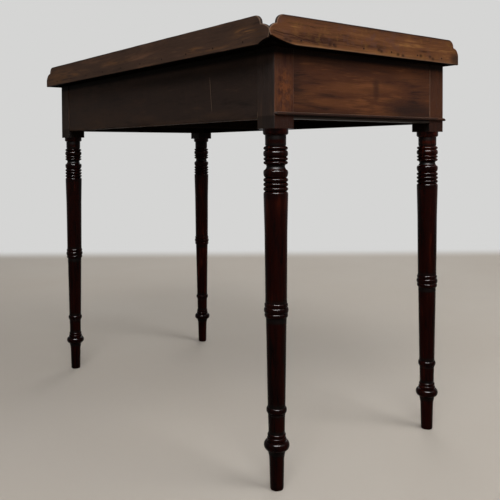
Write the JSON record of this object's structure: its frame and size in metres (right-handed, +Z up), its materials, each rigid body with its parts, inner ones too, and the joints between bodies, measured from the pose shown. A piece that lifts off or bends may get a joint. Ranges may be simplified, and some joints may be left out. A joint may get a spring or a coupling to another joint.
{
  "type": "writing table",
  "caption": "Small turned-leg writing table with a low scrolled gallery at the back and sides, and knobbed drawers that slide out of a deep frieze.",
  "frame": {"origin": "on the floor, under the middle of the whole table's box", "axes": "+Z up, +X along the long side, the drawers face -Y and the plain back faces +Y; left and right are as seen from the front"},
  "size_m": [0.908, 0.505, 0.792],
  "materials": {
    "top_wood": "worn french polish",
    "gallery_wood": "dry, worn polish",
    "gallery_back_wood": "dry and dark",
    "leg_wood": "glossy polish",
    "frieze_wood": "satin polish",
    "back_wood": "stained, unpolished",
    "inside_wood": "bare, aged",
    "drawer_wood": "bare, aged",
    "knob_wood": "glossy polish",
    "iron": "dull, aged"
  },
  "bodies": {
    "table": {"top_board": "top_wood", "gallery_back": "gallery_back_wood", "gallery_left": "gallery_wood", "gallery_right": "gallery_wood", "leg_front_left": "leg_wood", "leg_front_right": "leg_wood", "leg_back_left": "leg_wood", "leg_back_right": "leg_wood", "back_rail": "back_wood", "side_rail_left": "frieze_wood", "side_rail_right": "frieze_wood", "front_top_rail": "frieze_wood", "front_bottom_rail": "frieze_wood", "drawer_divider": "frieze_wood", "centre_bearer": "inside_wood", "runner_left": "inside_wood", "runner_right": "inside_wood", "guide_left": "inside_wood", "guide_right": "inside_wood", "centre_guide": "inside_wood", "kicker_left": "inside_wood", "kicker_right": "inside_wood", "centre_kicker": "inside_wood", "bead_left": "frieze_wood", "bead_right": "frieze_wood", "bead_front": "frieze_wood", "drawer_stops": "inside_wood", "glue_blocks": "inside_wood", "top_screws": "iron", "gallery_nails": "iron"},
    "left_drawer": {"left_drawer_front": "frieze_wood", "left_drawer_outer_side": "drawer_wood", "left_drawer_inner_side": "drawer_wood", "left_drawer_back": "drawer_wood", "left_drawer_bottom": "drawer_wood", "left_drawer_cockbead": "frieze_wood", "left_drawer_knobs": "knob_wood", "left_drawer_nails": "iron"},
    "right_drawer": {"right_drawer_front": "frieze_wood", "right_drawer_outer_side": "drawer_wood", "right_drawer_inner_side": "drawer_wood", "right_drawer_back": "drawer_wood", "right_drawer_bottom": "drawer_wood", "right_drawer_cockbead": "frieze_wood", "right_drawer_knobs": "knob_wood", "right_drawer_nails": "iron"}
  },
  "joints": [
    {"name": "left_drawer_slide", "type": "slide", "parent": "table", "child": "left_drawer", "axis": [0, -1, 0], "range_m": [0, 0.3]},
    {"name": "right_drawer_slide", "type": "slide", "parent": "table", "child": "right_drawer", "axis": [0, -1, 0], "range_m": [0, 0.3]}
  ]
}
